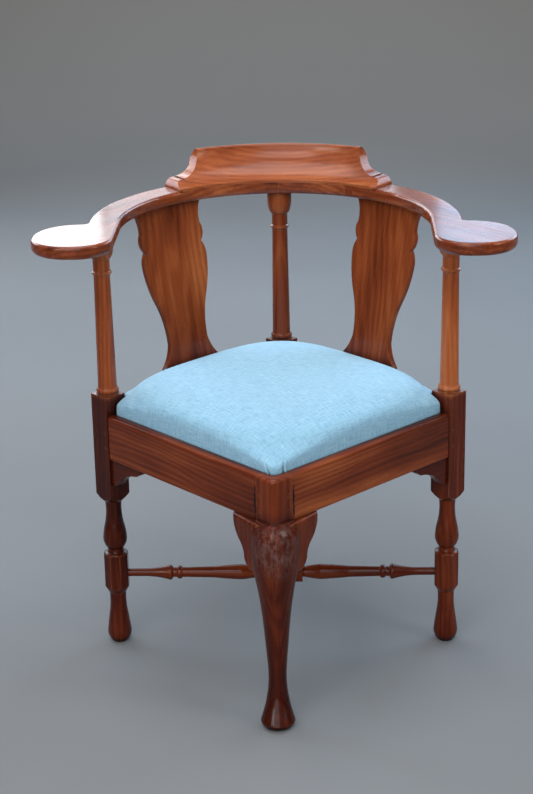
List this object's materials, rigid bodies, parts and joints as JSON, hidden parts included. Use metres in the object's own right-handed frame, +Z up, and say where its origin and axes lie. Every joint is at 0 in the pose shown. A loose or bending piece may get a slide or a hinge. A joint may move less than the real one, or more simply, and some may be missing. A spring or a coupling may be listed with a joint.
{
  "type": "corner chair",
  "caption": "Wooden corner chair with a diagonal square seat, rounded arm rail, raised crest, shaped splats, turned legs, a cabriole front leg and a padded lift-out seat.",
  "frame": {"origin": "on the floor, below the middle of the seat, which is the middle of the chair's width and depth", "axes": "+Z up; +Y from the front leg towards the rear post and the crest; +X towards the sitter's left arm, seen on the right from the front"},
  "size_m": [0.76, 0.6441, 0.8121],
  "materials": {
    "chair_wood": "satin",
    "pin_wood": "satin",
    "frame_wood": "matte",
    "screw_steel": "satin",
    "webbing": "matte",
    "canvas": "matte",
    "stuffing": "matte",
    "blue_cloth": "matte",
    "dust_cloth": "matte"
  },
  "bodies": {
    "chair_frame": {"seat_rail_front_left": "chair_wood", "seat_rail_front_right": "chair_wood", "seat_rail_rear_right": "chair_wood", "seat_rail_rear_left": "chair_wood", "right_leg_post": "chair_wood", "rear_leg_post": "chair_wood", "left_leg_post": "chair_wood", "front_leg": "chair_wood", "rail_pins": "pin_wood", "stretcher_side_to_side": "chair_wood", "stretcher_front_to_back": "chair_wood", "knee_bracket_left": "chair_wood", "knee_bracket_right": "chair_wood", "rail_bracket_left": "chair_wood", "rail_bracket_right": "chair_wood", "arm_left": "chair_wood", "arm_right": "chair_wood", "splat_left": "chair_wood", "splat_right": "chair_wood", "crest_rail": "chair_wood", "crest_screws": "screw_steel", "arm_plug": "pin_wood"},
    "slip_seat": {"slip_rail_rear_right": "frame_wood", "slip_rail_front_left": "frame_wood", "slip_rail_rear_left": "frame_wood", "slip_rail_front_right": "frame_wood", "slip_pegs": "pin_wood", "webbing_one_way": "webbing", "webbing_other_way": "webbing", "seat_canvas": "canvas", "seat_stuffing": "stuffing", "seat_cover": "blue_cloth", "seat_bottom_cloth": "dust_cloth"}
  },
  "joints": [
    {"name": "seat_lift", "type": "slide", "parent": "chair_frame", "child": "slip_seat", "axis": [0, 0, 1], "range_m": [0, 0.06]}
  ]
}
